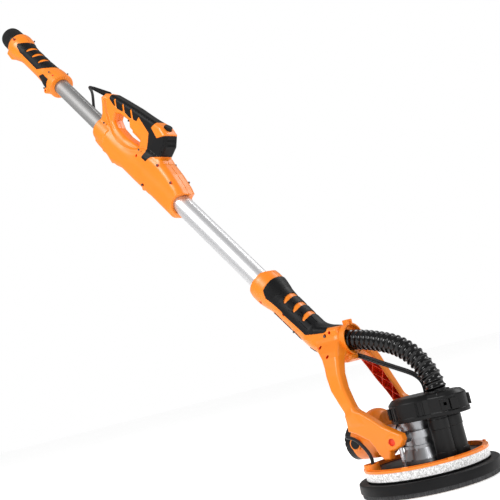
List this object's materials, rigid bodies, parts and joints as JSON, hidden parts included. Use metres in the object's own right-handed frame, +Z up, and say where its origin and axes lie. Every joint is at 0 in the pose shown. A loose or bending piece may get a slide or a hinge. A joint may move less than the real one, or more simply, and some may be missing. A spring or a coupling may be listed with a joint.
{
  "type": "pole drywall sander",
  "caption": "Long-reach electric wall and ceiling sander: round sanding head in a tilting fork on a telescoping pole with a looped handle, dust hose and light ring.",
  "frame": {"origin": "centre of the sanding face, where the disc's axis meets the surface being sanded", "axes": "+Z up the disc's axis towards the motor, -X towards the pole and the user, Y across the fork"},
  "size_m": [1.1079, 0.24, 1.2868],
  "materials": {
    "tube_bright": "satin",
    "tube_grey": "satin",
    "orange_shell": "gloss",
    "overmould_rubber": "matte",
    "black_plastic": "satin",
    "hose_plastic": "gloss",
    "cord_jacket": "matte",
    "steel": "satin",
    "die_cast": "satin",
    "base_grey": "matte",
    "laminations": "satin",
    "carbon": "matte",
    "circuit_board": "satin",
    "diffuser": "satin",
    "brush_fibre": "matte",
    "pad_foam": "matte",
    "abrasive": "matte"
  },
  "bodies": {
    "pole": {"lower_tube": "tube_bright", "fork_left": "orange_shell", "fork_right": "orange_shell", "fork_screws": "steel", "front_grip_rubber": "overmould_rubber", "neck_pad": "overmould_rubber", "hose_clamp": "orange_shell", "pivot_pins": "steel", "dust_hose": "hose_plastic", "twin_cable": "cord_jacket", "control_left": "orange_shell", "control_right": "orange_shell", "control_screws": "steel", "handle_rubber": "overmould_rubber", "nose_rubber": "overmould_rubber", "dial_bezel": "orange_shell", "trigger_switch": "black_plastic", "control_board": "circuit_board", "slide_bush": "black_plastic", "strain_relief": "overmould_rubber", "power_cord": "cord_jacket", "cord_hank": "cord_jacket", "cord_tie": "black_plastic", "power_plug": "cord_jacket"},
    "trigger_lever": {"trigger": "orange_shell"},
    "dial_knob": {"speed_dial": "black_plastic"},
    "rear_section": {"upper_tube": "tube_grey", "rear_grip_left": "orange_shell", "rear_grip_right": "orange_shell", "rear_grip_rubber": "overmould_rubber", "rear_grip_screws": "steel"},
    "outlet": {"hose_connector": "black_plastic"},
    "swing": {"swing_frame": "die_cast", "roll_pin": "steel", "levelling_springs": "steel"},
    "head": {"gearbox_casing": "die_cast", "gearbox_lid": "die_cast", "gearbox_screws": "steel", "motor_housing": "orange_shell", "motor_vent_cap": "black_plastic", "brush_caps": "black_plastic", "carbon_brushes": "carbon", "stator": "laminations", "dust_cover": "black_plastic", "cover_clips": "black_plastic", "dust_ducts": "black_plastic", "base_plate": "base_grey", "light_ring": "orange_shell", "led_strip": "circuit_board", "led_diffuser": "diffuser", "head_lead": "cord_jacket", "spindle_bearings": "steel", "motor_bearings": "steel"},
    "skirt": {"brush_skirt": "brush_fibre"},
    "disc": {"spindle": "steel", "bevel_gear": "steel", "backing_pad": "pad_foam", "abrasive_disc": "abrasive", "pad_screw": "steel"},
    "armature": {"rotor": "steel"}
  },
  "joints": [
    {"name": "trigger_pull", "type": "hinge", "parent": "pole", "child": "trigger_lever", "pos_m": [-0.54471, 0, 0.8619], "axis": [0, -1, 0], "range_deg": [0, 5], "stiffness_Nm_per_rad": 0.8, "springref_deg": -11.46},
    {"name": "speed_turn", "type": "hinge", "parent": "pole", "child": "dial_knob", "pos_m": [-0.45091, 0, 0.79373], "axis": [0.7771, 0, 0.6293], "range_deg": [0, 270]},
    {"name": "pole_slide", "type": "slide", "parent": "pole", "child": "rear_section", "axis": [0.6293, 0, -0.7771], "range_m": [0, 0.2]},
    {"name": "outlet_turn", "type": "hinge", "parent": "rear_section", "child": "outlet", "pos_m": [-0.94398, 0, 1.24372], "axis": [-0.6293, 0, 0.7771], "continuous": true},
    {"name": "head_pitch", "type": "hinge", "parent": "pole", "child": "swing", "pos_m": [0, 0, 0.085], "axis": [0, 1, 0], "range_deg": [-50, 28], "deforming": ["dust_hose", "twin_cable"]},
    {"name": "head_roll", "type": "hinge", "parent": "swing", "child": "head", "pos_m": [0, 0, 0.085], "axis": [1, 0, 0], "range_deg": [-5, 5], "stiffness_Nm_per_rad": 20, "deforming": ["levelling_springs"]},
    {"name": "skirt_lift", "type": "slide", "parent": "head", "child": "skirt", "axis": [0, 0, 1], "range_m": [0, 0.003], "stiffness_N_per_m": 2000, "springref_m": -0.002},
    {"name": "disc_spin", "type": "hinge", "parent": "head", "child": "disc", "pos_m": [0, 0, 0.05], "axis": [0, 0, 1], "continuous": true},
    {"name": "rotor_spin", "type": "hinge", "parent": "head", "child": "armature", "pos_m": [-0.05, 0, 0.085], "axis": [1, 0, 0], "continuous": true}
  ],
  "couplings": [
    {"joint": "rotor_spin", "follows": "disc_spin", "ratio": -4}
  ]
}
